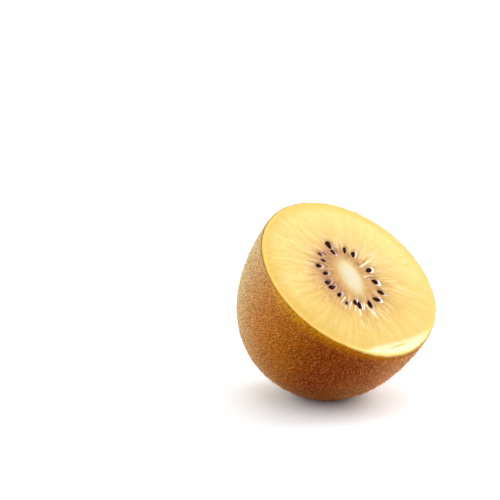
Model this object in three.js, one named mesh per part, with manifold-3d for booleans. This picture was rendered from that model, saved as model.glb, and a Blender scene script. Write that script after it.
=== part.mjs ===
// Half of a golden kiwi fruit, cut across its middle and leaning on its side, with the
// cut face turned up and to the front (-Y). The fruit is one solid, as it grew: a blunt
// round body with a shallow dimple and a corky scar at its far end, and on the cut face a
// raised pith, a sunken ring of seed wells and the flattened seeds that stand in them.
// The origin is on the surface that the half rests on, where its lowest point comes.
import * as THREE from "three";
import { mergeVertices } from "three/addons/utils/BufferGeometryUtils.js";
import Module from "manifold-3d";

const wasm = await Module();
wasm.setup();

// Driving dimensions, in millimetres, and in degrees where the name says so.
const CUT_RADIUS = 25; // half the width of the cut, the wide way
const NARROW = 0.97; // narrow width over wide width
const HALF_LENGTH = 36; // from the cut to the far end
const FULLNESS = 2.4; // exponent of the side outline: 2 is an ellipse, more is blunter
const LEAN_DEG = 38; // how far the fruit's own axis leans from upright
const FOOT_DEPTH = 0.5; // how much the soft fruit flattens where it rests

const RIM_DROP = 0.8; // the flesh curves down this much from the middle of the cut to the skin
const RIM_POWER = 7; // how late that curve starts
const PITH_LONG = 5.2; // half the pith's long way, across the slope
const PITH_WIDE = 2.8; // half its narrow way
const PITH_RISE = 0.3;
const WELL_RING = 0.34; // the ring of seed wells, as a share of the cut's radius
const WELL_RING_WIDTH = 2.8;
const WELL_RING_DEPTH = 0.3;
const WELL_DEPTH = 0.3; // each seed's own hollow
const WELL_REACH = 1.3;

const DIMPLE_DEPTH = 0.9; // at the far end
const DIMPLE_REACH = 5;
const SCAR_RADIUS = 1.9;
const SCAR_RISE = 0.8;
const SCAR_EDGE = 0.5;

const SEED_FLATNESS = 0.72; // thickness over width
const SEED_SIDES = 8;

const COLUMNS = 80; // faces round the fruit
const SIDE_ROWS = 17; // rows of faces from the rim to the shoulder
const SHOULDER_DEG = 74;

// Where the knife met seeds: degrees round the face, from +X towards the top of the slope,
// and millimetres out from the middle; then each seed's length, width, turn off the radius
// in degrees, and how far its middle lies under the bottom of its hollow.
const SEEDS = [
  [1, 6.6, 2.3, 1.4, 11, 0], [46, 8.0, 2.0, 1.15, -1, 0], [63, 8.5, 2.4, 0.85, -4, 0],
  [89, 10.2, 2.3, 1.35, 8, 0], [90, 7.9, 1.9, 0.85, 3, 0], [118, 9.3, 1.6, 0.8, 5, 0.2],
  [128, 7.8, 1.6, 0.9, 9, 0.2], [145, 8.8, 1.7, 1.1, 15, 0], [160, 7.2, 1.8, 0.9, 10, 0],
  [181, 8.1, 2.2, 1.3, 8, 0.25], [193, 8.2, 2.2, 1.2, -20, 0], [211, 8.6, 1.8, 1.0, -5, 0],
  [225, 10.4, 1.9, 0.9, -13, 0.25], [240, 8.9, 1.9, 1.1, 3, 0], [246, 9.8, 2.6, 1.1, -2, 0],
  [266, 9.5, 2.4, 1.2, -5, 0], [286, 8.9, 2.3, 1.3, 32, 0], [307, 8.7, 2.1, 1.1, -4, 0],
  [328, 6.9, 2.0, 1.3, -12, 0],
];

const radians = THREE.MathUtils.degToRad;
const { smoothstep } = THREE.MathUtils;
const bell = (distance, reach) => Math.exp(-((distance / reach) ** 2));

// The fruit isn't a perfect solid of revolution: its radius wanders by about 1%.
function unevenness(angle, depth) {
  const d = depth / HALF_LENGTH;
  return (
    1 +
    0.006 * Math.sin(2 * angle + 1.1 + 2.2 * d) * Math.sin(Math.PI * (0.15 + 0.7 * d)) +
    0.004 * Math.sin(3 * angle + 0.4 - 3.1 * d) * (0.4 + d) +
    0.0025 * Math.sin(5 * angle + 2.0 + 4.0 * d) * d
  );
}

// A point on the skin, in the fruit's own frame: the cut is at z = 0, the far end below it.
function skinPoint(angle, lift) {
  const share = Math.max(0, Math.cos(lift)) ** (2 / FULLNESS);
  const depth = RIM_DROP + (HALF_LENGTH - RIM_DROP) * Math.sin(lift) ** (2 / FULLNESS);
  const radius = CUT_RADIUS * share * unevenness(angle, depth);
  const dimple = DIMPLE_DEPTH * bell(radius, DIMPLE_REACH);
  const scar =
    SCAR_RISE * smoothstep(SCAR_RADIUS + SCAR_EDGE - radius, 0, 2 * SCAR_EDGE);
  return new THREE.Vector3(
    radius * NARROW * Math.cos(angle),
    radius * Math.sin(angle),
    -depth + dimple - scar,
  );
}

// How high the cut face stands over the knife's plane, at a place on it.
function faceHeight(x, y) {
  const out = Math.hypot(x / NARROW, y);
  const pith = smoothstep(1.25 - Math.hypot(x / PITH_WIDE, y / PITH_LONG), 0, 0.5);
  let height =
    -RIM_DROP * (out / CUT_RADIUS) ** RIM_POWER +
    PITH_RISE * pith -
    WELL_RING_DEPTH * bell(out - WELL_RING * CUT_RADIUS, WELL_RING_WIDTH);
  for (const [degrees, far] of SEEDS) {
    const a = radians(degrees);
    const away = Math.hypot(x - far * Math.cos(a), y - far * Math.sin(a));
    height -= WELL_DEPTH * bell(away, WELL_REACH);
  }
  return height;
}

function facePoint(angle, share) {
  const rim = skinPoint(angle, 0);
  const x = rim.x * share;
  const y = rim.y * share;
  return new THREE.Vector3(x, y, share === 1 ? rim.z : faceHeight(x, y));
}

// The rows of points from the far end, over the skin to the rim, and in over the cut face.
function bodyRows() {
  const liftAt = (radius) => Math.acos((radius / CUT_RADIUS) ** (FULLNESS / 2));
  const nearEnd = [0.7, 1.3, 1.7, 2.1, 2.6, 3.4, 4.6, 6.2].map(liftAt);
  const side = [];
  for (let i = 0; i <= SIDE_ROWS; i++)
    side.push(radians(SHOULDER_DEG) * (1 - i / SIDE_ROWS) ** 1.15);
  const shares = [
    0.985, 0.955, 0.91, 0.85, 0.76, 0.66, 0.56, 0.48, 0.42, 0.36, 0.3, 0.25, 0.19, 0.13, 0.07,
  ];
  return [
    ...[...nearEnd, ...side].map((lift) => (angle) => skinPoint(angle, lift)),
    ...shares.map((share) => (angle) => facePoint(angle, share)),
  ];
}

// A closed skin of triangles over the rows, with one point at each end of the axis.
function bodyGeometry() {
  const rows = bodyRows();
  const points = [skinPoint(0, Math.PI / 2)];
  for (const row of rows)
    for (let c = 0; c < COLUMNS; c++) points.push(row((c / COLUMNS) * 2 * Math.PI));
  points.push(facePoint(0, 0));
  const at = (row, column) => 1 + row * COLUMNS + (column % COLUMNS);
  const last = points.length - 1;
  const index = [];
  for (let c = 0; c < COLUMNS; c++) {
    index.push(0, at(0, c + 1), at(0, c));
    index.push(last, at(rows.length - 1, c), at(rows.length - 1, c + 1));
    for (let r = 0; r < rows.length - 1; r++) {
      index.push(at(r, c), at(r, c + 1), at(r + 1, c));
      index.push(at(r, c + 1), at(r + 1, c + 1), at(r + 1, c));
    }
  }
  return new THREE.BufferGeometry().setFromPoints(points).setIndex(index);
}

// A seed lies along a radius of the face, its point towards the pith, and is flattened.
function seedGeometry([degrees, far, length, width, turn, sink]) {
  const outline = [
    [0, -0.5], [0.2, -0.38], [0.38, -0.14], [0.5, 0.12], [0.4, 0.38], [0, 0.5],
  ].map(([x, y]) => new THREE.Vector2(x * width, y * length));
  const x = far * Math.cos(radians(degrees));
  const y = far * Math.sin(radians(degrees));
  return new THREE.LatheGeometry(outline, SEED_SIDES)
    .scale(1, 1, SEED_FLATNESS)
    .rotateZ(radians(degrees + turn - 90))
    .translate(x, y, faceHeight(x, y) - sink);
}

function solidOf(geometry) {
  const bare = geometry.clone();
  bare.deleteAttribute("normal");
  bare.deleteAttribute("uv");
  const merged = mergeVertices(bare, 1e-4);
  return new wasm.Manifold(
    new wasm.Mesh({
      numProp: 3,
      vertProperties: new Float32Array(merged.attributes.position.array),
      triVerts: new Uint32Array(merged.index.array),
    }),
  );
}

function geometryOf(solid) {
  const { vertProperties, triVerts } = solid.getMesh();
  const geometry = new THREE.BufferGeometry()
    .setAttribute("position", new THREE.BufferAttribute(vertProperties, 3))
    .setIndex(new THREE.BufferAttribute(triVerts, 1));
  geometry.computeVertexNormals();
  return geometry;
}

// The move from the fruit's own frame to the row frame: it leans over, and the lowest point
// of its front outline comes to the origin, one foot depth under the surface.
function restingPlace() {
  const lean = new THREE.Matrix4().makeRotationX(radians(LEAN_DEG));
  const low = new THREE.Vector3(0, 0, Infinity);
  for (let lift = 0; lift < 90; lift += 0.1) {
    const p = skinPoint(-Math.PI / 2, radians(lift)).applyMatrix4(lean);
    if (p.z < low.z) low.copy(p);
  }
  const move = new THREE.Matrix4().makeTranslation(0, -low.y, -low.z - FOOT_DEPTH);
  return move.multiply(lean);
}

function kiwiHalf() {
  const place = restingPlace();
  let solid = solidOf(bodyGeometry().applyMatrix4(place));
  for (const seed of SEEDS) {
    solid = solid.add(solidOf(seedGeometry(seed).applyMatrix4(place)));
  }
  const side = 4 * CUT_RADIUS;
  const under = new THREE.BoxGeometry(side, side, side).translate(0, 0, -side / 2);
  solid = solid.subtract(solidOf(under));

  const flesh = new THREE.MeshStandardMaterial({
    color: 0xf2cf63,
    roughness: 0.35,
    metalness: 0,
  });
  const mesh = new THREE.Mesh(geometryOf(solid), flesh);
  mesh.name = "kiwi_half";
  return mesh;
}

const fruit = new THREE.Group();
fruit.add(kiwiHalf());

export default fruit;
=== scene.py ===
# Half of a golden kiwi fruit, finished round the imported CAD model: the flesh with its pith,
# seed chambers and pale threads, the seeds, the thin skin with its corky scar, and the down.
import math
from itertools import product

import bpy
import numpy as np
from mathutils import Matrix, Vector


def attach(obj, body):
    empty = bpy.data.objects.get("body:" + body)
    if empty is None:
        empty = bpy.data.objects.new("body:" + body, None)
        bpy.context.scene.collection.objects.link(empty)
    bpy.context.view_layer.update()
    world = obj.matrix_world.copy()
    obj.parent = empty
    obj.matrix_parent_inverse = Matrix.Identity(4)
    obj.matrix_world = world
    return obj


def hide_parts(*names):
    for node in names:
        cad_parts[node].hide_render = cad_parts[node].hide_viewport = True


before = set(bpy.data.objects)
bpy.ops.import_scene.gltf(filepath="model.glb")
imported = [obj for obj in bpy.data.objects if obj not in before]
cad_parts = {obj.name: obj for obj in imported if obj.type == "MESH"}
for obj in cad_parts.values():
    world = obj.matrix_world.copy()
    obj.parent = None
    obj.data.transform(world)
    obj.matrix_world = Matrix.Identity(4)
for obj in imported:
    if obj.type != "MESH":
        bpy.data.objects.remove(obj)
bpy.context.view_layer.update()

NODE = "kiwi_half"
MM = 0.001

# The fruit's driving dimensions, as in the CAD model: millimetres and degrees.
CUT_RADIUS = 25.0
NARROW = 0.97
HALF_LENGTH = 36.0
FULLNESS = 2.4
LEAN_DEG = 38.0
FOOT_DEPTH = 0.5
RIM_DROP = 0.8
RIM_POWER = 7
PITH_LONG = 5.2
PITH_WIDE = 2.8
WELL_RING = 0.34
WELL_RING_WIDTH = 2.8
DIMPLE_DEPTH = 0.9
DIMPLE_REACH = 5.0
SCAR_RADIUS = 1.9
SCAR_RISE = 0.8
SCAR_EDGE = 0.5

# What is finer than in the CAD model, or not in it at all.
FOOT_SOFT = 0.08  # the flattened foot has a soft edge
PITH_RISE = 0.1
PITH_MIDDLE = (-0.5, -0.5)
PITH_SLANT = 0.17
WELL_RING_DEPTH = 0.2
WELL_DEPTH = 0.22
WELL_REACH = 0.6
SKIN_THICKNESS = 0.28
SKIN_GAP = 0.01
SKIN_LIP = 0.08  # the skin's cut edge is rounded, and stands up this much
FLESH_STANDS = 0.16  # the flesh swells this much over the edge of the skin
FLESH_ROUND = 0.22  # and rounds off over this width
THREAD_RISE = 0.05
MEMBRANE_RISE = 0.15
BEVEL_START = -20.7  # past this line, on the lower side, the cut falls away in a flat facet
BEVEL_SLOPE = 0.20
BEVEL_CURVE = 0.0135  # the line bends up to the right
BEVEL_SOFT = 0.4
FACET_REACH = 5.0  # the skin closes up over this depth to meet the lowered edge
KNIFE_MARK = ((-5.2, -22.8), (2.8, -22.9))  # a shallow groove on the facet, from end to end
KNIFE_MARK_DEPTH = 0.04
KNIFE_MARK_WIDTH = 0.35
WAVER = 0.055  # the edge of the cut strays in and out by about this much
WAVER_REACH = 3.0  # and the side does so ever less, down to this depth

# The seeds that the knife met, as in the CAD model: degrees round the face from +X up the
# slope, millimetres out from the middle, length, width, turn off the radius in degrees, how
# far the seed is sunk, and how bright the wet membrane beside it and its painted highlight are.
SEEDS = [
    (1, 6.6, 2.3, 1.4, 11, 0.0, 1.0),
    (46, 8.0, 2.0, 1.15, -1, 0.0, 0.9),
    (63, 8.5, 2.4, 0.85, -4, 0.0, 0.3),
    (89, 10.2, 2.3, 1.35, 8, 0.0, 0.5),
    (90, 7.9, 1.9, 0.85, 3, 0.0, 0.6),
    (118, 9.3, 1.6, 0.8, 5, 0.2, 0.3),
    (128, 7.8, 1.6, 0.9, 9, 0.2, 0.3),
    (145, 8.8, 1.7, 1.1, 15, 0.0, 0.6),
    (160, 7.2, 1.8, 0.9, 10, 0.0, 0.5),
    (181, 8.1, 2.2, 1.3, 8, 0.25, 0.4),
    (193, 8.2, 2.2, 1.2, -20, 0.0, 0.5),
    (211, 8.6, 1.8, 1.0, -5, 0.0, 0.65),
    (225, 10.4, 1.9, 0.9, -13, 0.25, 0.3),
    (240, 8.9, 1.9, 1.1, 3, 0.0, 1.0),
    (246, 9.8, 2.6, 1.1, -2, 0.0, 1.0),
    (266, 9.5, 2.4, 1.2, -5, 0.0, 0.6),
    (286, 8.9, 2.3, 1.3, 32, 0.0, 0.9),
    (307, 8.7, 2.1, 1.1, -4, 0.0, 0.6),
    (328, 6.9, 2.0, 1.3, -12, 0.0, 1.0),
]
# Seeds just under the cut that only show as a stain: the same numbers up to the turn.
STAINS = [
    (29, 5.1, 1.0, 0.8, -26),
    (56, 6.6, 1.8, 0.6, -8),
    (111, 8.7, 1.4, 0.7, 16),
    (339, 5.6, 2.0, 0.5, 0),
]
MEMBRANE_AND_HIGHLIGHT_SIDE = (0.80, -0.60)  # every membrane, with its painted highlight, shows on this side of its seed, towards the light

# The clearest pale threads in the flesh: from degrees and millimetres to degrees and
# millimetres, brightness, width.
MAIN_THREADS = [
    (18, 4.4, 16.5, 12.6, 1.0, 0.20),
    (-26, 3.4, -15, 6.7, 0.9, 0.16),
    (-100, 11.2, -97, 14.6, 1.0, 0.20),
    (-104, 9.4, -99, 12.8, 0.7, 0.15),
    (-87, 10.8, -87, 13.2, 0.6, 0.15),
    (-118, 14.8, -116, 18.0, 0.7, 0.17),
    (-114, 16.0, -113, 18.4, 0.5, 0.15),
    (-100, 15.4, -99, 19.3, 0.3, 0.30),
    (-116, 10.8, -116, 14.2, 0.9, 0.17),
    (-120, 9.8, -124, 13.4, 0.9, 0.16),
    (-130, 11.2, -131, 13.4, 0.7, 0.15),
    (-135, 10.3, -136, 13.6, 0.7, 0.15),
    (-138, 8.3, -143, 12.0, 0.85, 0.17),
    (-134, 9.2, -137, 11.4, 0.6, 0.13),
    (-127, 9.0, -131, 12.2, 0.85, 0.17),
    (-112, 8.2, -118, 11.6, 0.9, 0.18),
    (-104, 9.0, -111, 12.0, 0.9, 0.18),
    (-101, 9.4, -103, 11.6, 0.7, 0.22),
    (-96, 11.0, -96, 13.6, 0.85, 0.17),
    (-118, 11.6, -117, 14.2, 0.7, 0.14),
    (-69, 7.6, -63, 9.7, 0.5, 0.13),
    (76, 8.4, 71, 13.4, 0.4, 0.16),
    (146, 9.9, 148, 13.4, 0.35, 0.15),
]
FINE_THREADS = 110

FACE_COLUMNS = 480
FACE_ROWS = 150
SKIN_COLUMNS = 400
SKIN_ROWS = 170
LIP_ROWS = 4
HIDDEN_ROWS = 18
SEED_COLUMNS = 28
SEED_ROWS = 22

TUFTS = 9400
HAIRS_A_TUFT = 4
TUFT_SPREAD = 0.06
HAIR_LENGTH = 0.7
HAIR_WIDTH = 0.085
HAIR_POINTS = 7
HAIR_ROOT = 0.03  # how deep the hairs start in the skin
HAIRLESS_ROWS = 3  # of the skin, next to the cut
HAIRLESS_HEIGHT = 0.4  # over the surface that the fruit rests on

# The pale band on the skin and its down is painted sheen: the light that the down catches from
# behind, along the left outline. It is thickest on a band that starts PAINTED_SHEEN_BACK
# degrees round the fruit.
# It ends at PAINTED_SHEEN_FRONT by the cut, and PAINTED_SHEEN_TURN further round at
# PAINTED_SHEEN_DEPTH under it.
# It fades on both sides.
PAINTED_SHEEN_BACK = 130
PAINTED_SHEEN_BACK_FADE = 38
PAINTED_SHEEN_FRONT = 128
PAINTED_SHEEN_FRONT_FADE = 37
PAINTED_SHEEN_TURN = 82
PAINTED_SHEEN_DEPTH = 31
PAINTED_SHEEN_CURVE = 4.4

# Colours, in linear light. Most pairs go from a dark or low place to a pale or high one.
GOLD = (0.545, 0.358, 0.070), (0.64, 0.460, 0.142)  # over the cut, from its low side up; paler upwards with painted sheen of the lights above
GOLD_INNER = (0.34, 0.14, 0.02)  # deeper, round the chambers
GOLD_OUTER = (0.58, 0.37, 0.065)
GOLD_MOTTLE = (0.985, 0.978, 0.955), (1.015, 1.022, 1.045)  # factors
PALE_STREAK = (0.72, 0.565, 0.23)
DEEP_STREAK = (0.54, 0.31, 0.06)
FLESH_EDGE = (0.80, 0.53, 0.12), (0.63, 0.42, 0.11)  # next to the skin, on the left and right; the pale left one is painted light on an edge in shade
# Painted highlight: a pale line along the flesh's low edge.
FLESH_EDGE_PAINTED_HIGHLIGHT = (0.92, 0.72, 0.28)
LEFT_TAN = (0.55, 0.33, 0.095), (0.30, 0.125, 0.028)  # of the chambers, pale and dark
RIGHT_TAN = (0.50, 0.285, 0.066), (0.26, 0.105, 0.018)
# Brown round the seeds, deeper on the left: partly their own colour, partly painted shade of
# the seeds.
CHAMBER_BROWN = (0.235, 0.088, 0.037)
HALO = (0.54, 0.45, 0.22)
PITH = (0.515, 0.455, 0.315)
THREAD = (0.81, 0.71, 0.51)
STAIN = (0.10, 0.035, 0.03)
# Wet membranes beside the seeds: lilac, and pale where they are a painted highlight.
MEMBRANE_AND_HIGHLIGHT = (0.50, 0.33, 0.26), (0.80, 0.69, 0.63)
SKIN_BROWN = (0.35, 0.112, 0.001), (0.145, 0.026, 0.001)  # usual and dark
# Rosy and paler on the right outline: partly the skin's colour, partly painted sheen.
SKIN_ROSY = (0.39, 0.175, 0.075)
SKIN_NEAR_CUT = (0.37, 0.118, 0.001), (0.49, 0.215, 0.003)  # usual and olive; the olive is partly painted glow of light through the thin skin by the cut
SKIN_FAR = (0.27, 0.108, 0.030)
# Painted sheen: the pale colour where the down would catch light from behind.
SKIN_PAINTED_SHEEN = (0.48, 0.345, 0.173)
SKIN_SPECKLE = (0.68, 0.54, 0.32), (1.19, 1.30, 1.50)  # factors
PAINTED_SHEEN_SPECKLE = (0.78, 0.74, 0.68), (1.17, 1.20, 1.25)  # factors
SKIN_PORE = (0.06, 0.014, 0.004)
SKIN_EDGE = (0.38, 0.155, 0.010), (0.55, 0.34, 0.10)  # at the cut, usual and on the low side, where the pale colour is a painted highlight
SCAR = (0.06, 0.03, 0.014)
SEED_COAT = (0.010, 0.0015, 0.001), (0.055, 0.008, 0.003)
# A pale film on each seed's side towards the light: partly the wet membrane, partly a painted
# highlight.
SEED_FILM_AND_HIGHLIGHT = (0.30, 0.15, 0.15)
DOWN = (0.70, 0.160, 0.000), (0.90, 0.375, 0.030)
DOWN_TONES = {  # where the skin is so, each over the ones before it
    "dark": ((0.36, 0.045, 0.000), (0.68, 0.215, 0.060)),
    # paler, rosy down on the right outline: partly painted sheen
    "rosy": ((0.62, 0.29, 0.13), (0.94, 0.49, 0.26)),
    "far": ((0.28, 0.115, 0.032), (0.52, 0.25, 0.085)),
    # paler down under the painted sheen
    "painted_sheen": ((0.67, 0.52, 0.29), (0.96, 0.785, 0.475)),
}

# The stage, in metres.
FLOOR_COLOUR = (0.87, 0.885, 0.895, 1.0)
FLOOR_SIDE = 6.0  # half the floor's width
FLOOR_DROP = 0.00002  # the floor lies just under the foot
LIGHTS_AIM = (0.0, 0.0, 0.025)

# The camera: where it stands, how far off, and how the photograph is framed, in its pixels.
CAMERA_AZIMUTH = -43.4
CAMERA_ELEVATION = 15.0
CAMERA_DISTANCE = 0.6
PHOTO_SIDE = 500
PIXELS_A_MM = 3.989
CUT_CENTRE_PIXEL = (349.4, 277.1)
SENSOR_MM = 36.0


# ---------------------------------------------------------------- shape


def smoothstep(x, low, high):
    t = np.clip((x - low) / (high - low), 0.0, 1.0)
    return t * t * (3.0 - 2.0 * t)


def bell(distance, reach):
    return np.exp(-((distance / reach) ** 2))


def noise(points, size, seed):
    """Smooth random values from -1 to 1 over space, in lumps about `size` across."""
    side = 48
    table = np.random.default_rng(seed).uniform(-1, 1, (side, side, side))
    cell = np.floor(points / size).astype(int)
    part = points / size - cell
    part = part * part * (3 - 2 * part)
    total = np.zeros(len(points))
    for corner in product((0, 1), repeat=3):
        weight = np.prod(np.where(corner, part, 1 - part), axis=1)
        i, j, k = ((cell + corner) % side).T
        total += weight * table[i, j, k]
    return total


def ripple(angle, orders, seed):
    """A smooth wave from about -1 to 1 round the face, made of the given numbers of waves."""
    phases = np.random.default_rng(seed).uniform(0, 2 * math.pi, len(orders))
    waves = [np.sin(n * angle + phase) for n, phase in zip(orders, phases)]
    return sum(waves) / math.sqrt(len(orders))


def unevenness(angle, depth):
    """The fruit's radius wanders by about 1%, as in the CAD model."""
    d = depth / HALF_LENGTH
    return (
        1.0
        + 0.006 * np.sin(2 * angle + 1.1 + 2.2 * d) * np.sin(math.pi * (0.15 + 0.7 * d))
        + 0.004 * np.sin(3 * angle + 0.4 - 3.1 * d) * (0.4 + d)
        + 0.0025 * np.sin(5 * angle + 2.0 + 4.0 * d) * d
    )


def skin_point(angle, lift):
    """Points on the skin in the fruit's own frame: the cut is at z = 0, the far end below."""
    share = np.maximum(0.0, np.cos(lift)) ** (2 / FULLNESS)
    depth = RIM_DROP + (HALF_LENGTH - RIM_DROP) * np.sin(lift) ** (2 / FULLNESS)
    radius = CUT_RADIUS * share * unevenness(angle, depth)
    dimple = DIMPLE_DEPTH * bell(radius, DIMPLE_REACH)
    scar = SCAR_RISE * smoothstep(SCAR_RADIUS + SCAR_EDGE - radius, 0, 2 * SCAR_EDGE)
    return np.stack(
        [radius * NARROW * np.cos(angle), radius * np.sin(angle), -depth + dimple - scar],
        axis=-1,
    )


def resting_place():
    """The move, in millimetres, from the fruit's own frame to the row frame."""
    lean = Matrix.Rotation(math.radians(LEAN_DEG), 4, "X")
    lifts = np.radians(np.arange(0, 90, 0.1))
    outline = skin_point(np.full_like(lifts, -math.pi / 2), lifts)
    leaned = outline @ np.array(lean.to_3x3()).T
    low = leaned[np.argmin(leaned[:, 2])]
    return Matrix.Translation((0, -low[1], -low[2] - FOOT_DEPTH)) @ lean


PLACE = resting_place()


def to_row(points, inset=0.0):
    """Points in the fruit's own frame, in millimetres, as metres in the row frame.

    What would come under the resting surface is pressed flat on it, or on a level that lies
    above it by the inset.
    """
    move = np.array(PLACE)
    placed = points @ move[:3, :3].T + move[:3, 3]
    over = placed[..., 2] - inset
    placed[..., 2] = inset + 0.5 * (over + np.hypot(over, FOOT_SOFT))
    return placed * MM


def add_mesh(name, points, faces, fields=None):
    """A smooth mesh object from points in metres, with a number for each point a field."""
    mesh = bpy.data.meshes.new(name)
    mesh.from_pydata(points, [], faces)
    for field, values in (fields or {}).items():
        attribute = mesh.attributes.new(field, "FLOAT", "POINT")
        attribute.data.foreach_set("value", np.asarray(values, np.float32))
    mesh.shade_smooth()
    piece = bpy.data.objects.new(name, mesh)
    bpy.context.scene.collection.objects.link(piece)
    return piece


def lathe_faces(rows, columns):
    """Faces over rows of points in rings, with one more point at each end: first and last."""
    ring = np.arange(columns)
    after = (ring + 1) % columns
    base = 1 + columns * np.arange(rows - 1)[:, None]
    quads = np.stack([base + ring, base + after, base + columns + after, base + columns + ring])
    last = 1 + rows * columns
    top = 1 + (rows - 1) * columns
    faces = quads.reshape(4, -1).T.tolist()
    faces += [[0, 1 + b, 1 + a] for a, b in zip(ring.tolist(), after.tolist())]
    faces += [[last, top + a, top + b] for a, b in zip(ring.tolist(), after.tolist())]
    return faces


def grid_normals(grid):
    """Unit normals of a ring grid, out of the fruit."""
    along = np.gradient(grid, axis=0)
    around = np.roll(grid, -1, axis=1) - np.roll(grid, 1, axis=1)
    normal = np.cross(around, along)
    return normal / np.linalg.norm(normal, axis=-1, keepdims=True)


def waver(grid):
    """The grid, pushed in and out a little next to the cut."""
    angle = np.arctan2(grid[..., 1], grid[..., 0])
    near_cut = 1 - smoothstep(-grid[..., 2] - RIM_DROP, 0, WAVER_REACH)
    swell = WAVER * near_cut * ripple(angle, [19, 29, 41, 50], seed=42)
    return grid * (1 + swell[..., None] / CUT_RADIUS * np.array([1, 1, 0]))


# ---------------------------------------------------------------- cut face


def near_angle(degrees, middle, reach):
    """1 at the middle direction, falling off on both sides of it."""
    return bell((degrees - middle + 180) % 360 - 180, reach)


def segment(x, y, start, end):
    """How far each place is from a line, and how far along it, from 0 to 1."""
    dx, dy = end[0] - start[0], end[1] - start[1]
    along = ((x - start[0]) * dx + (y - start[1]) * dy) / (dx * dx + dy * dy)
    inside = np.clip(along, 0, 1)
    return np.hypot(x - start[0] - inside * dx, y - start[1] - inside * dy), along


def past_facet(x, y):
    """How far places lie past the line where the cut falls away; before it, below zero."""
    return BEVEL_START - y + BEVEL_CURVE * np.maximum(0, x - 1) ** 2


def past_bend(x, y):
    """The same, from 0 up, and with a soft bend at the line."""
    past = past_facet(x, y)
    return 0.5 * (past + np.hypot(past, BEVEL_SOFT))


def polar(degrees, out):
    return out * math.cos(math.radians(degrees)), out * math.sin(math.radians(degrees))


def thread_lines():
    """The clearest threads, and many finer ones, brightest below and to the right."""
    rng = np.random.default_rng(11)
    lines = list(MAIN_THREADS)
    for _ in range(FINE_THREADS):
        degrees = rng.uniform(0, 360)
        side = 0.3 + 0.6 * near_angle(degrees, 265, 50) + 0.3 * near_angle(degrees, 20, 50)
        start = rng.uniform(7.0, 13.0)
        end = start + rng.uniform(1.0, 4.5)
        swing = rng.uniform(-4, 4)
        bright = side * rng.uniform(0.1, 0.8)
        lines.append((degrees, start, degrees + swing, end, bright, rng.uniform(0.08, 0.2)))
    return lines


def threads(x, y):
    """How strongly a pale thread shows at each place: they fan out from the pith."""
    total = np.zeros_like(x)
    for start_angle, start, end_angle, end, bright, width in thread_lines():
        away, along = segment(x, y, polar(start_angle, start), polar(end_angle, end))
        fade = smoothstep(along, -0.05, 0.15) * (1 - smoothstep(along, 0.5, 1.05))
        taper = 1.15 - 0.5 * np.clip(along, 0, 1)
        total = np.maximum(total, bright * fade * bell(away, width * taper))
    return np.clip(total, 0, 1)


def core_fields(x, y, out, angle):
    """The pith, the halo round it, the zone of the seed chambers and its mauve left side, which
    is partly painted shade of the seeds.
    """
    reach = np.hypot(
        (x - PITH_MIDDLE[0] - PITH_SLANT * y) / PITH_WIDE, (y - PITH_MIDDLE[1]) / PITH_LONG
    )
    reach *= 1 + 0.05 * ripple(angle, [11, 17, 23, 31, 40, 55], seed=3)
    edge = 11.2 + 2.2 * np.cos(angle + math.radians(160))
    edge += 0.6 * ripple(angle, [9, 14, 22, 33, 47], seed=4)
    return {
        "pith": 1 - smoothstep(reach, 0.35, 1.15),
        "halo": 1 - smoothstep(reach, 0.7, 1.5),
        "chamber": smoothstep(reach, 0.6, 1.1) * (1 - smoothstep(out, edge - 2.8, edge + 2.0)),
        # Mauve on the chambers' left: partly their own colour, partly painted shade of the
        # seeds.
        "mauve": smoothstep(np.cos(angle - math.radians(140)), -0.1, 0.7),
    }


def facet_wetness(x, y, out):
    """The facet is wet, but for its two ends, its rim and a dull lens in its middle."""
    past = past_facet(x, y)
    lens = bell(past - 1.95, 0.35) * bell(x + 0.8, 3.6)
    reach_left = past + 0.5 * smoothstep(-x, 0.0, 8.0)
    wet = smoothstep(reach_left, 0.1, 2.2) * smoothstep(x, -17.0, -9.0) * (1 - 0.8 * lens)
    return wet * 0.8 * (1 - smoothstep(out, 24.0, 24.6)) * (1 - smoothstep(x, 1.0, 20.0))


def seed_reach(x, y, degrees, far, length, width, turn):
    """How far places are from a seed: 1 at its edge, and the gap to it in millimetres."""
    sx, sy = polar(degrees, far)
    slant = math.radians(degrees + turn)
    along = (x - sx) * math.cos(slant) + (y - sy) * math.sin(slant)
    across = (y - sy) * math.cos(slant) - (x - sx) * math.sin(slant)
    reach = np.hypot(along / (length / 2), across / (width / 2))
    return reach, (reach - 1) * (length + width) / 4


def seed_fields(x, y, mauve):
    """The marks that the seeds leave: how deep their hollows are, and what shows round them,
    with a painted highlight on the membranes and partly painted shade in the brown.
    """
    hollow, membrane, stain, brown = (np.zeros_like(x) for _ in range(4))
    for degrees, far, length, width, turn, sink, bright in SEEDS:
        sx, sy = polar(degrees, far)
        reach, gap = seed_reach(x, y, degrees, far, length, width, turn)
        toward = (x - sx) * MEMBRANE_AND_HIGHLIGHT_SIDE[0] + (y - sy) * MEMBRANE_AND_HIGHLIGHT_SIDE[1]
        toward /= np.maximum(np.hypot(x - sx, y - sy), 0.2)
        lobes = 0.12 * np.sin(3 * np.arctan2(y - sy, x - sx) + 5 * math.radians(degrees + turn))
        # The membrane on each seed's side towards the light, raised, and pale with a painted
        # highlight.
        lip = bright * bell(gap + lobes - 0.22, 0.36) * smoothstep(toward, -0.1, 0.8)
        membrane = np.maximum(membrane, lip)
        if sink:
            stain = np.maximum(stain, 1 - smoothstep(reach, 0.6, 1.5))
        outward = ((x - sx) * sx + (y - sy) * sy) / far
        # Brown round each seed, more on the mauve left: partly painted shade.
        tint = (0.25 + 0.65 * mauve) * (1 - 0.6 * smoothstep(outward, 0.3, 1.8))
        brown = np.maximum(brown, tint * bell(np.maximum(gap, 0), 1.15))
        hollow += (WELL_DEPTH - 0.5 * sink) * bell(np.maximum(gap, 0), WELL_REACH)
    for place in STAINS:
        reach, _ = seed_reach(x, y, *place)
        stain = np.maximum(stain, 1 - smoothstep(reach, 0.4, 1.3))
    return hollow, {"membrane": membrane, "stain": stain, "brown": brown}


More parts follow.
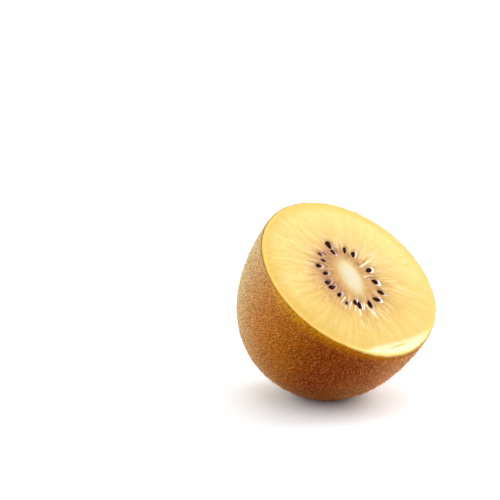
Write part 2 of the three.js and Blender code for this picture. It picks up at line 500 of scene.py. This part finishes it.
def face_fields(x, y):
    """Height and what the flesh is like, at places on the cut face in millimetres."""
    out = np.hypot(x / NARROW, y)
    angle = np.arctan2(y, x / NARROW)
    fields = {"out": out, "thread": threads(x, y), **core_fields(x, y, out, angle)}
    hollow, marks = seed_fields(x, y, fields["mauve"])
    fields.update(marks)
    fields["mauve"] = fields["mauve"] * 0.72 * bell(out - 8.1, 1.9)
    fields["wet"] = np.maximum(facet_wetness(x, y, out), fields["membrane"])

    drop = past_bend(x, y)
    lens_out = np.hypot(x / NARROW, y + drop)
    round_off = np.maximum(0, out - (CUT_RADIUS - SKIN_THICKNESS - FLESH_ROUND)) / FLESH_ROUND
    knife_mark, _ = segment(x, y, *KNIFE_MARK)
    spots = np.stack([x, y, np.zeros_like(x)], axis=-1)
    lumps = 0.02 * noise(spots, size=1.7, seed=5) + 0.01 * noise(spots, size=0.7, seed=6)
    height = (
        FLESH_STANDS
        - RIM_DROP * (lens_out / CUT_RADIUS) ** RIM_POWER
        - BEVEL_SLOPE * drop
        - 0.8 * FLESH_STANDS * round_off**2
        + PITH_RISE * fields["pith"]
        - WELL_RING_DEPTH * bell(out - WELL_RING * CUT_RADIUS, WELL_RING_WIDTH)
        + THREAD_RISE * fields["thread"]
        - KNIFE_MARK_DEPTH * bell(knife_mark, KNIFE_MARK_WIDTH)
        - hollow
        + MEMBRANE_RISE * fields["membrane"]
        + (1 - 0.8 * smoothstep(out, 15, 20)) * lumps
    )
    return height, fields


def make_flesh():
    """The golden flesh: its cut face in full detail, and its side, which the skin covers."""
    angle = np.linspace(0, 2 * math.pi, FACE_COLUMNS, endpoint=False)
    lifts = np.linspace(math.pi / 2, 0, HIDDEN_ROWS + 2)[1:, None]
    side = skin_point(angle[None, :], lifts)
    side = waver(side - (SKIN_THICKNESS + SKIN_GAP) * grid_normals(side))
    rim = side[-1]
    shares = (1 - np.linspace(0, 1, FACE_ROWS + 1) ** 1.15)[:-1, None]
    x = rim[None, :, 0] * shares
    y = rim[None, :, 1] * shares
    height, fields = face_fields(x.ravel(), y.ravel())
    face = np.stack([x.ravel(), y.ravel(), height], axis=-1)
    middle, middle_fields = face_fields(np.zeros(1), np.zeros(1))
    pole = [[0, 0, side[0, 0, 2]]]
    hidden = side[:-1].reshape(-1, 3)
    points = np.concatenate([pole, hidden, face, [[0, 0, middle[0]]]])
    lead = 1 + len(hidden)
    fields = {
        name: np.concatenate([np.full(lead, values[0]), values, middle_fields[name]])
        for name, values in fields.items()
    }
    faces = lathe_faces(HIDDEN_ROWS + FACE_ROWS, FACE_COLUMNS)
    return add_mesh("kiwi_flesh", to_row(points, SKIN_THICKNESS + SKIN_GAP), faces, fields)


# ---------------------------------------------------------------- skin and scar


def skin_relief(points):
    """How far the skin's bumps and the scar's cracks stand out, and where the scar is."""
    relief = 0.05 * noise(points, size=3.1, seed=21) + 0.03 * noise(points, size=1.3, seed=22)
    relief += 0.02 * noise(points, size=0.8, seed=23)
    out = np.hypot(points[:, 0], points[:, 1])
    scar = 1 - smoothstep(out, SCAR_RADIUS, SCAR_RADIUS + 2 * SCAR_EDGE)
    twist = np.arctan2(points[:, 1], points[:, 0]) + 0.4 * out
    cracks = ripple(twist, [7, 11, 18], seed=24) * (1 - 0.3 * out)
    relief += scar * (0.12 * cracks + 0.12 * noise(points, size=0.35, seed=25))
    return relief, scar


def skin_grid(columns, rows):
    """The outside of the skin, from the far end to the cut, with its fine relief.

    Also its normals, where the scar is, and how far each point is from the cut.
    """
    angle = np.linspace(0, 2 * math.pi, columns, endpoint=False)
    lifts = (math.pi / 2) * (1 - np.linspace(0.012, 1, rows) ** 0.9)[:, None]
    grid = skin_point(angle[None, :], lifts)
    normal = grid_normals(grid)
    relief, scar = skin_relief(grid.reshape(-1, 3))
    from_cut = -grid[..., 2] - RIM_DROP
    relief = relief.reshape(rows, columns) * smoothstep(from_cut, 0, 0.6)
    grid = waver(grid + normal * relief[..., None])
    rim = grid[-1]
    drop = BEVEL_SLOPE * past_bend(rim[:, 0], rim[:, 1])
    grid[..., 2] -= drop * (1 - smoothstep(from_cut, 0, FACET_REACH))
    return grid, normal, scar, from_cut.ravel()


def skin_tones(points):
    """How dark, rosy and olive the skin and its down are, where they are pale with painted
    sheen, and how far round the back.
    """
    angle = np.degrees(np.arctan2(points[:, 1], points[:, 0]))
    depth = -points[:, 2]
    front = PAINTED_SHEEN_FRONT + PAINTED_SHEEN_TURN * np.clip(depth / PAINTED_SHEEN_DEPTH, 0, 1) ** PAINTED_SHEEN_CURVE
    # The painted sheen follows the fruit's left outline, where the down would catch light from
    # behind.
    painted_sheen = 1 - 0.6 * smoothstep(depth, 18, 30)
    painted_sheen *= bell(np.maximum(angle % 360 - front, 0), PAINTED_SHEEN_FRONT_FADE)
    return {
        "painted_sheen": painted_sheen * bell(np.minimum(angle % 360 - PAINTED_SHEEN_BACK, 0), PAINTED_SHEEN_BACK_FADE),
        "dark": near_angle(angle, -125, 38),
        # Rosy on the right outline: partly painted sheen.
        "rosy": near_angle(angle, -75, 24),
        # Olive by the cut: partly painted glow of light through the thin skin.
        "olive": near_angle(angle, -172, 22),
        "far": smoothstep(angle, -58, -25) * (1 - smoothstep(angle, 95, 124)),
    }


def make_skin(grid, normal, scar, from_cut):
    """The thin brown skin, a shell over the flesh with a rounded edge at the cut."""
    rows, columns = grid.shape[:2]
    outer = grid.reshape(-1, 3)
    across = np.linspace(0, 1, LIP_ROWS + 2)[1:-1, None, None]
    lip = grid[-1] - across * SKIN_THICKNESS * normal[-1]
    lip = lip + np.array([0, 0, 1]) * SKIN_LIP * np.sin(math.pi * across)
    step = rows // HIDDEN_ROWS
    inner = grid[::-1][::step] - SKIN_THICKNESS * normal[::-1][::step]
    points = np.concatenate([
        [[0, 0, outer[0, 2]]],
        outer,
        lip.reshape(-1, 3),
        inner.reshape(-1, 3),
        [[0, 0, inner[-1, 0, 2]]],
    ])
    inset = np.where(np.arange(len(points)) > len(outer), SKIN_THICKNESS, 0.0)
    inside = np.zeros(len(points) - 1 - len(outer))
    fields = {
        "from_cut": np.concatenate([[HALF_LENGTH], from_cut, inside]),
        "scar": np.concatenate([[1.0], scar, inside]),
        **skin_tones(points),
    }
    faces = lathe_faces(rows + LIP_ROWS + len(inner), columns)
    return add_mesh("kiwi_skin", to_row(points, inset), faces, fields)


# ---------------------------------------------------------------- down


def tuft_places(grid, rng):
    """Evenly strewn places on the skin: how far up the grid's rows and round its columns."""
    rows, columns = grid.shape[:2]
    widths = np.linalg.norm(np.roll(grid, -1, axis=1) - grid, axis=-1)
    heights = np.linalg.norm(np.gradient(grid, axis=0), axis=-1)
    share = np.cumsum((widths * heights).sum(axis=1))
    order = np.arange(TUFTS) + rng.uniform(0, 1, TUFTS)
    row = np.interp(order / TUFTS, share / share[-1], np.arange(rows))
    golden = (3 - math.sqrt(5)) / 2
    column = (np.arange(TUFTS) * golden * columns + rng.uniform(-0.5, 0.5, TUFTS)) % columns
    return row, column


def at_grid(grid, row, column):
    """The grid's values between its points."""
    r = np.minimum(row.astype(int), len(grid) - 2)
    c = column.astype(int)
    up, on = (row - r)[:, None], (column - c)[:, None]
    c, d = c % grid.shape[1], (c + 1) % grid.shape[1]
    low = (1 - on) * grid[r, c] + on * grid[r, d]
    high = (1 - on) * grid[r + 1, c] + on * grid[r + 1, d]
    return (1 - up) * low + up * high


def unit(v):
    return v / np.linalg.norm(v, axis=1, keepdims=True)


def in_tufts(values):
    """Values of the tufts, repeated for each hair."""
    return np.repeat(values, HAIRS_A_TUFT, axis=0)


def lay_hairs(place, up, rng):
    """Each hair's root, the ways that its lower and upper half go, and the skin's normal."""
    tufts = len(place)
    sideways = unit(np.cross(up, [0.0, 0.0, 1.0]))
    turn = rng.normal(0, 1.1, (tufts, 1))
    lean = np.radians(rng.uniform(8, 35, (tufts, 1)))
    wave = 0.35 * rng.normal(size=(tufts, 3))
    down_hill = in_tufts(np.cross(up, sideways))
    sideways, up, lean, wave = in_tufts(sideways), in_tufts(up), in_tufts(lean), in_tufts(wave)
    turn = in_tufts(turn) + rng.normal(0, 0.15, (len(up), 1))
    spread = TUFT_SPREAD * rng.normal(size=(len(up), 3))
    sunk = HAIR_ROOT + np.sum(spread * up, axis=1, keepdims=True)
    root = in_tufts(place) + spread - sunk * up
    flow = np.cos(turn) * down_hill + np.sin(turn) * sideways
    lower = unit(np.cos(lean) * flow + np.sin(lean) * up)
    upper = unit(lower - 0.3 * up + wave)
    return root, lower, upper, up


def hair_points(root, lower, upper, up, rng):
    """The points of each hair: a triangle at its root, a smaller one half way up, its tip."""
    length = HAIR_LENGTH * rng.lognormal(0, 0.3, (len(root), 1))
    middle = root + 0.5 * length * lower
    tip = middle + 0.5 * length * upper
    wide = unit(np.cross(lower, up))
    deep = np.cross(wide, lower)
    thick = HAIR_WIDTH / 2 * rng.uniform(0.7, 1.3, (len(root), 1))
    corners = [math.pi * 2 * k / 3 for k in range(3)]
    ways = [math.cos(c) * wide + math.sin(c) * deep for c in corners]
    rings = [root + thick * way for way in ways] + [middle + 0.7 * thick * way for way in ways]
    return np.stack([*rings, tip], axis=1).reshape(-1, 3)


def hair_faces(count):
    """The faces of so many closed hairs. Their normals point inwards."""
    base = HAIR_POINTS * np.arange(count)[:, None, None]
    quads = base + np.array([[0, 1, 4, 3], [1, 2, 5, 4], [2, 0, 3, 5]])
    tris = base + np.array([[3, 4, 6], [4, 5, 6], [5, 3, 6], [0, 2, 1]])
    return quads.reshape(-1, 4).tolist() + tris.reshape(-1, 3).tolist()


def make_down(name, grid, normal, side, seed):
    """Short tapering hairs in small tufts, on one side of the fruit: side is 1 for +X."""
    rng = np.random.default_rng(seed)
    row, column = tuft_places(grid, rng)
    place, up = at_grid(grid, row, column), unit(at_grid(normal, row, column))
    keep = (side * place[:, 0] > 0) & (row < len(grid) - HAIRLESS_ROWS)
    keep &= np.hypot(place[:, 0], place[:, 1]) > SCAR_RADIUS
    keep &= to_row(place)[:, 2] > HAIRLESS_HEIGHT * MM
    place, up = place[keep], up[keep]
    points = hair_points(*lay_hairs(place, up, rng), rng)
    shade = 0.55 + 0.75 * rng.uniform(-0.45, 0.45, len(place))
    shade = np.clip(shade + 0.6 * noise(place, size=0.7, seed=51), 0, 1)
    fields = {"shade": np.repeat(in_tufts(shade), HAIR_POINTS), **skin_tones(points)}
    faces = hair_faces(len(points) // HAIR_POINTS)
    return add_mesh(name, to_row(points), faces, fields)


# ---------------------------------------------------------------- seeds


def seed_body(length, width):
    """The points of a flat teardrop that lies along X, its narrow end towards -X."""
    t = -np.cos(np.linspace(0, math.pi, SEED_ROWS + 2))[1:-1, None]
    turn = np.linspace(0, 2 * math.pi, SEED_COLUMNS, endpoint=False)[None, :]
    girth = np.sqrt(1 - t * t) * (1 + 0.32 * t - 0.12 * t * t)
    x = length / 2 * np.broadcast_to(t, (SEED_ROWS, SEED_COLUMNS))
    y = width / 2 * girth * np.cos(turn)
    z = 0.36 * width * girth * np.sin(turn)
    body = np.stack([x, y, z], axis=-1).reshape(-1, 3)
    return np.concatenate([[[-length / 2, 0, 0]], body, [[length / 2, 0, 0]]])


def make_seeds():
    """Flat teardrop seeds, pointed towards the pith, each in its own hollow, with a painted
    highlight on one side.
    """
    rng = np.random.default_rng(31)
    points, faces, films_and_highlights = [], [], []
    for degrees, far, length, width, twist, sink, bright in SEEDS:
        spin = Matrix.Rotation(math.radians(degrees + twist), 3, "Z")
        nod = Matrix.Rotation(math.radians(rng.uniform(-12, 12)), 3, "Y")
        roll = Matrix.Rotation(math.radians(rng.uniform(-35, 35)), 3, "X")
        body = seed_body(length, width) @ np.array(spin @ nod @ roll).T
        # The pale film on the side towards the light is partly a painted highlight.
        toward = body[:, 0] * MEMBRANE_AND_HIGHLIGHT_SIDE[0] + body[:, 1] * MEMBRANE_AND_HIGHLIGHT_SIDE[1]
        films_and_highlights.append(bright * smoothstep(toward / toward.max(), 0.3, 1.0))
        sx, sy = polar(degrees, far)
        height = face_fields(np.array([sx]), np.array([sy]))[0][0]
        body += [sx, sy, height + 0.05 - sink]
        offset = len(points) * len(body)
        points.append(body)
        faces += [[i + offset for i in face] for face in lathe_faces(SEED_ROWS, SEED_COLUMNS)]
    fields = {"film_and_highlight": np.concatenate(films_and_highlights)}
    return add_mesh("kiwi_seeds", to_row(np.concatenate(points)), faces, fields)


# ---------------------------------------------------------------- material nodes


def new_material(name):
    """A material with its tree, and its Principled shader."""
    material = bpy.data.materials.new(name)
    material.use_nodes = True
    return material, material.node_tree, material.node_tree.nodes["Principled BSDF"]


def put(tree, socket, value):
    """Give an input a number or colour, or link another node's output to it."""
    if isinstance(value, bpy.types.NodeSocket):
        tree.links.new(value, socket)
    else:
        socket.default_value = value


def node(tree, kind, inputs, **settings):
    """A node with these inputs, each a number, a colour or another node's output."""
    made = tree.nodes.new("ShaderNode" + kind)
    for key, value in settings.items():
        setattr(made, key, value)
    for key, value in inputs.items():
        put(tree, made.inputs[key], value)
    return made


def field(tree, name):
    return node(tree, "Attribute", {}, attribute_name=name).outputs["Fac"]


def maths(tree, operation, a, b):
    return node(tree, "Math", {0: a, 1: b}, operation=operation).outputs[0]


def times(tree, a, b):
    return maths(tree, "MULTIPLY", a, b)


def vector_maths(tree, operation, a, b=(0.0, 0.0, 0.0)):
    """A vector or, from a length or a dot product, a number."""
    made = node(tree, "VectorMath", {0: a, 1: b}, operation=operation)
    return made.outputs["Value" if operation in ("LENGTH", "DOT_PRODUCT") else "Vector"]


def ramp(tree, value, low, high, to_low=0.0, to_high=1.0):
    """A number that goes smoothly from to_low to to_high as the value goes from low to high."""
    inputs = {"Value": value, "From Min": low, "From Max": high}
    inputs |= {"To Min": to_low, "To Max": to_high}
    return node(tree, "MapRange", inputs, interpolation_type="SMOOTHSTEP").outputs["Result"]


def noise_texture(tree, place, scale, detail, output="Fac"):
    """A smooth random value round 0.5, in lumps about 1 / scale across."""
    inputs = {"Vector": place, "Scale": scale, "Detail": detail}
    return node(tree, "TexNoise", inputs).outputs[output]


def blend(tree, factor, a, b):
    """Colour a turning into colour b as factor goes from 0 to 1."""
    made = node(tree, "Mix", {}, data_type="RGBA")
    put(tree, made.inputs[0], factor)
    for socket, colour in ((made.inputs[6], a), (made.inputs[7], b)):
        put(tree, socket, (*colour, 1.0) if isinstance(colour, tuple) else colour)
    return made.outputs[2]


def overlay(tree, colour, *layers):
    """A colour under layers, each a factor and a colour."""
    for factor, layer in layers:
        colour = blend(tree, factor, colour, layer)
    return colour


def add_bump(tree, shader, height, strength, distance):
    inputs = {"Height": height, "Strength": strength, "Distance": distance * MM}
    put(tree, shader.inputs["Normal"], node(tree, "Bump", inputs).outputs[0])


def fruit_axes(tree):
    """Each point's place in the fruit's own frame, in millimetres."""
    place = node(tree, "TexCoord", {}).outputs["Object"]
    inputs = {
        "Vector": vector_maths(tree, "MULTIPLY", place, (1 / MM,) * 3),
        "Location": PLACE.to_translation(),
        "Rotation": PLACE.to_euler(),
    }
    return node(tree, "Mapping", inputs, vector_type="TEXTURE").outputs[0]


def axes_of(tree, place):
    """A place's X and its Y."""
    parts = node(tree, "SeparateXYZ", {"Vector": place}).outputs
    return parts["X"], parts["Y"]


def streak_axes(tree, place, finer_round, finer_out):
    """Coordinates in which a noise makes streaks that run out from the pith."""
    flat = vector_maths(tree, "MULTIPLY", place, (1, 1, 0))
    heading = vector_maths(tree, "NORMALIZE", flat)
    turned = vector_maths(tree, "MULTIPLY", heading, (finer_round,) * 3)
    out = times(tree, vector_maths(tree, "LENGTH", flat), finer_out)
    rise = node(tree, "CombineXYZ", {"Z": out}).outputs[0]
    return vector_maths(tree, "ADD", turned, rise)


# ---------------------------------------------------------------- materials


def flesh_streaks(tree, place):
    """Broad and fine streaks, which stray a little from straight lines."""
    drift = noise_texture(tree, place, 0.18, 1.0, output="Color")
    drift = vector_maths(tree, "SUBTRACT", drift, (0.5,) * 3)
    bent = vector_maths(tree, "ADD", place, drift)
    broad = noise_texture(tree, streak_axes(tree, bent, 14.0, 0.12), 1.0, 5.0)
    fine = noise_texture(tree, streak_axes(tree, bent, 52.0, 0.5), 1.0, 4.0)
    return broad, fine


def golden_colour(tree, place, broad, fine):
    """The flesh outside the chambers: gold with streaks, deeper at the rim, paler upwards with
    painted sheen and with painted light on its edge.
    """
    out = field(tree, "out")
    across, _ = axes_of(tree, place)
    cloud = ramp(tree, noise_texture(tree, place, 0.12, 3.0), 0.3, 0.7, -4.0, 4.0)
    side = vector_maths(tree, "DOT_PRODUCT", place, (0.17, 0.98, 0))
    side = maths(tree, "ADD", side, cloud)
    upper_right = vector_maths(tree, "DOT_PRODUCT", place, (0.7, 0.7, 0))
    strength = times(tree, ramp(tree, side, -16.0, 12.0, 0.45, 1.0), ramp(tree, out, 4.0, 9.0))
    strength = times(tree, ramp(tree, upper_right, 4.0, 16.0, 1.0, 0.5), strength)
    rim = times(tree, ramp(tree, out, 20.5, 23.8), ramp(tree, across, -4.0, 16.0, 0.6, 0.85))
    low = times(tree, ramp(tree, side, -12.0, -17.0), ramp(tree, across, -17.0, -11.0))
    low = times(tree, low, ramp(tree, across, 4.0, 13.0, 1.0, 0.0))
    edge = blend(tree, ramp(tree, across, -16.0, 2.0), *FLESH_EDGE)
    colour = overlay(
        tree,
        # Gold that grows paler upwards: painted sheen of the lights above.
        blend(tree, ramp(tree, side, -14.0, 9.0), *GOLD),
        (ramp(tree, out, 11.0, 20.0, 0.32, 0.0), GOLD_INNER),
        (times(tree, ramp(tree, broad, 0.38, 0.62, 0.0, 0.45), strength), PALE_STREAK),
        (times(tree, ramp(tree, fine, 0.48, 0.60, 0.0, 0.4), strength), DEEP_STREAK),
        (rim, GOLD_OUTER),
        # The flesh's edge: painted light on the left, and a painted highlight on the low side.
        (ramp(tree, out, 23.7, 24.6, 0.0, 0.65), blend(tree, low, edge, FLESH_EDGE_PAINTED_HIGHLIGHT)),
    )
    lumps = ramp(tree, noise_texture(tree, place, 1.1, 1.0), 0.36, 0.64)
    return vector_maths(tree, "MULTIPLY", colour, blend(tree, lumps, *GOLD_MOTTLE))


def core_colour(tree, place, fine, gold):
    """The chambers, pith, threads and membranes with their painted highlight, over the gold."""
    across, _ = axes_of(tree, place)
    grain = ramp(tree, fine, 0.38, 0.62)
    left, right = blend(tree, grain, *LEFT_TAN), blend(tree, grain, *RIGHT_TAN)
    tan = blend(tree, ramp(tree, across, -5.0, 3.0), left, right)
    brown = maths(tree, "MAXIMUM", field(tree, "brown"), field(tree, "mauve"))
    membrane = field(tree, "membrane")
    film_and_highlight = blend(tree, ramp(tree, membrane, 0.45, 0.85), *MEMBRANE_AND_HIGHLIGHT)
    return overlay(
        tree,
        gold,
        (times(tree, field(tree, "chamber"), 0.9), tan),
        (times(tree, brown, 0.8), CHAMBER_BROWN),
        (times(tree, field(tree, "halo"), 0.7), HALO),
        (field(tree, "pith"), PITH),
        (field(tree, "thread"), THREAD),
        (times(tree, field(tree, "stain"), 0.8), STAIN),
        (ramp(tree, membrane, 0.05, 0.6), film_and_highlight),
    )


def flesh_material():
    material, tree, shader = new_material("kiwi_flesh")
    place = fruit_axes(tree)
    broad, fine = flesh_streaks(tree, place)
    colour = core_colour(tree, place, fine, golden_colour(tree, place, broad, fine))
    put(tree, shader.inputs["Base Color"], colour)
    grains = noise_texture(tree, place, 2.2, 4.0)
    put(tree, shader.inputs["Roughness"], ramp(tree, grains, 0.3, 0.7, 0.42, 0.55))
    shader.inputs["Specular IOR Level"].default_value = 0.12
    shader.inputs["Subsurface Weight"].default_value = 0.35
    shader.inputs["Subsurface Radius"].default_value = (1.0, 0.6, 0.2)
    shader.inputs["Subsurface Scale"].default_value = 0.8 * MM
    wet = ramp(tree, field(tree, "wet"), 0.0, 1.0, 0.0, 0.9)
    put(tree, shader.inputs["Coat Weight"], wet)
    shader.inputs["Coat Roughness"].default_value = 0.17
    shader.inputs["Coat IOR"].default_value = 1.5
    ridges = maths(tree, "ADD", times(tree, broad, 0.6), times(tree, grains, 0.5))
    add_bump(tree, shader, ridges, strength=0.15, distance=0.1)
    return material


def skin_colour(tree, place, mottle, pores):
    """Brown that is darker, rosy or olive in places, pale with painted sheen, speckled, with
    dark pores.
    """
    patches = noise_texture(tree, place, 0.14, 4.0)
    dark = maths(tree, "ADD", field(tree, "dark"), ramp(tree, patches, 0.3, 0.7, -0.12, 0.12))
    from_cut, painted_sheen = field(tree, "from_cut"), field(tree, "painted_sheen")
    # Golden olive by the cut: partly painted glow of light through the thin skin.
    near_cut = blend(tree, field(tree, "olive"), *SKIN_NEAR_CUT)
    colour = overlay(
        tree,
        blend(tree, dark, *SKIN_BROWN),
        (field(tree, "rosy"), SKIN_ROSY),
        (ramp(tree, from_cut, 3.8, 0.3, 0.0, 0.85), near_cut),
        (field(tree, "far"), SKIN_FAR),
        # painted sheen
        (painted_sheen, SKIN_PAINTED_SHEEN),
    )
    pale = ramp(tree, mottle, 0.36, 0.64)
    speckle = blend(
        tree, painted_sheen, blend(tree, pale, *SKIN_SPECKLE), blend(tree, pale, *PAINTED_SHEEN_SPECKLE)
    )
    across, up = axes_of(tree, place)
    low_side = times(tree, ramp(tree, up, -13.0, -18.0), ramp(tree, across, -17.0, -11.0))
    return overlay(
        tree,
        vector_maths(tree, "MULTIPLY", colour, speckle),
        (ramp(tree, pores, 0.22, 0.12, 0.0, 0.6), SKIN_PORE),
        # The skin's cut edge, paler on the low side with a painted highlight.
        (ramp(tree, from_cut, 0.12, 0.02, 0.0, 0.9), blend(tree, low_side, *SKIN_EDGE)),
        (field(tree, "scar"), SCAR),
    )


def skin_material():
    material, tree, shader = new_material("kiwi_skin")
    place = fruit_axes(tree)
    mottle = noise_texture(tree, place, 2.2, 3.0)
    pores = node(tree, "TexVoronoi", {"Vector": place, "Scale": 0.75}).outputs["Distance"]
    put(tree, shader.inputs["Base Color"], skin_colour(tree, place, mottle, pores))
    shader.inputs["Roughness"].default_value = 0.7
    shader.inputs["Specular IOR Level"].default_value = 0.02
    shader.inputs["Sheen Weight"].default_value = 0.4
    shader.inputs["Sheen Roughness"].default_value = 0.18
    shader.inputs["Sheen Tint"].default_value = (1.0, 0.75, 0.32, 1.0)
    height = maths(tree, "ADD", mottle, ramp(tree, pores, 0.1, 0.25, -0.4, 0.0))
    add_bump(tree, shader, height, strength=1.0, distance=0.3)
    return material


def seed_material():
    material, tree, shader = new_material("kiwi_seed")
    place = fruit_axes(tree)
    tone = ramp(tree, noise_texture(tree, place, 1.2, 2.0), 0.35, 0.7)
    film_and_highlight = times(tree, field(tree, "film_and_highlight"), 0.8)
    colour = blend(tree, film_and_highlight, blend(tree, tone, *SEED_COAT), SEED_FILM_AND_HIGHLIGHT)
    put(tree, shader.inputs["Base Color"], colour)
    shader.inputs["Roughness"].default_value = 0.3
    shader.inputs["Specular IOR Level"].default_value = 0.03
    cells = node(tree, "TexVoronoi", {"Vector": place, "Scale": 7.0}).outputs["Distance"]
    add_bump(tree, shader, cells, strength=0.2, distance=0.02)
    return material


def down_material():
    material, tree, shader = new_material("kiwi_down")
    shade = field(tree, "shade")
    colour = blend(tree, shade, *DOWN)
    for tone, pair in DOWN_TONES.items():
        colour = blend(tree, field(tree, tone), colour, blend(tree, shade, *pair))
    put(tree, shader.inputs["Base Color"], colour)
    shader.inputs["Roughness"].default_value = 0.6
    shader.inputs["Specular IOR Level"].default_value = 0.02
    return material


# ---------------------------------------------------------------- stage


def camera_axes():
    """The camera's right, up and back directions in the row frame."""
    azimuth, elevation = math.radians(CAMERA_AZIMUTH), math.radians(CAMERA_ELEVATION)
    right = Vector((math.cos(azimuth), math.sin(azimuth), 0))
    back = Vector((
        math.sin(azimuth) * math.cos(elevation),
        -math.cos(azimuth) * math.cos(elevation),
        math.sin(elevation),
    ))
    return right, back.cross(right), back


def make_camera():
    """The photograph's view: the middle of the cut's rim comes to its pixel."""
    right, up, back = camera_axes()
    cut_centre = PLACE @ Vector((0, 0, -RIM_DROP)) * MM
    aside = (CUT_CENTRE_PIXEL[0] - PHOTO_SIDE / 2) / PIXELS_A_MM * MM
    below = (CUT_CENTRE_PIXEL[1] - PHOTO_SIDE / 2) / PIXELS_A_MM * MM
    place = cut_centre - aside * right + below * up + CAMERA_DISTANCE * back
    data = bpy.data.cameras.new("camera")
    data.sensor_width = SENSOR_MM
    data.lens = SENSOR_MM * PIXELS_A_MM * CAMERA_DISTANCE / MM / PHOTO_SIDE
    data.clip_start = 0.01
    data.clip_end = 20.0
    camera = bpy.data.objects.new("camera", data)
    bpy.context.scene.collection.objects.link(camera)
    turned = Matrix((right, up, back)).transposed().to_4x4()
    camera.matrix_world = Matrix.Translation(place) @ turned
    bpy.context.scene.camera = camera


def area_light(name, direction, distance, wide, tall, radiance, gloss_only=False):
    """A soft light that looks at the fruit from a direction, its wide way level."""
    data = bpy.data.lights.new(name, "AREA")
    data.shape = "RECTANGLE"
    data.size, data.size_y = wide, tall
    data.energy = 4 * radiance * wide * tall
    light = bpy.data.objects.new(name, data)
    bpy.context.scene.collection.objects.link(light)
    outward = Vector(direction).normalized()
    light.location = Vector(LIGHTS_AIM) + outward * distance
    light.rotation_mode = "QUATERNION"
    light.rotation_quaternion = outward.to_track_quat("Z", "Y")
    light.visible_camera = False
    light.visible_diffuse = not gloss_only


def make_floor():
    corners = [(-1, -1), (1, -1), (1, 1), (-1, 1)]
    points = [(FLOOR_SIDE * x, FLOOR_SIDE * y, -FLOOR_DROP) for x, y in corners]
    floor = add_mesh("floor", points, [[0, 1, 2, 3]])
    material, _, shader = new_material("floor")
    shader.inputs["Base Color"].default_value = FLOOR_COLOUR
    shader.inputs["Roughness"].default_value = 0.9
    shader.inputs["Specular IOR Level"].default_value = 0.0
    floor.data.materials.append(material)


def make_lights():
    world = bpy.data.worlds.new("world")
    bpy.context.scene.world = world
    world.use_nodes = True
    background = world.node_tree.nodes["Background"].inputs
    background["Color"].default_value = (1, 1, 1, 1)
    background["Strength"].default_value = 0.9
    area_light("overhead", (0.48, -0.17, 1.0), 1.6, 4.0, 4.0, 0.58)
    area_light("left", (-0.5, 0.85, 0.35), 0.6, 0.55, 0.55, 1.95)
    area_light("right", (0.95, -0.35, 0.6), 0.6, 0.45, 0.45, 3.0)
    area_light("card", (0.66, -0.44, 0.63), 0.6, 0.50, 0.29, 5.2, gloss_only=True)
    bpy.context.scene.view_settings.view_transform = "Standard"


# ---------------------------------------------------------------- assembly


def dress(piece, material):
    piece.data.materials.append(material)
    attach(piece, "root")


make_camera()
make_floor()
make_lights()

flesh = make_flesh()
dress(flesh, flesh_material())
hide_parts(NODE)

outside, outside_normal, scar_field, cut_field = skin_grid(SKIN_COLUMNS, SKIN_ROWS)
skin = make_skin(outside, outside_normal, scar_field, cut_field)
dress(skin, skin_material())
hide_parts(NODE)

seeds = make_seeds()
dress(seeds, seed_material())
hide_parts(NODE)

down = down_material()
for name, side, seed in (("kiwi_down_right", 1, 41), ("kiwi_down_left", -1, 42)):
    hairs = make_down(name, outside, outside_normal, side, seed)
    dress(hairs, down)
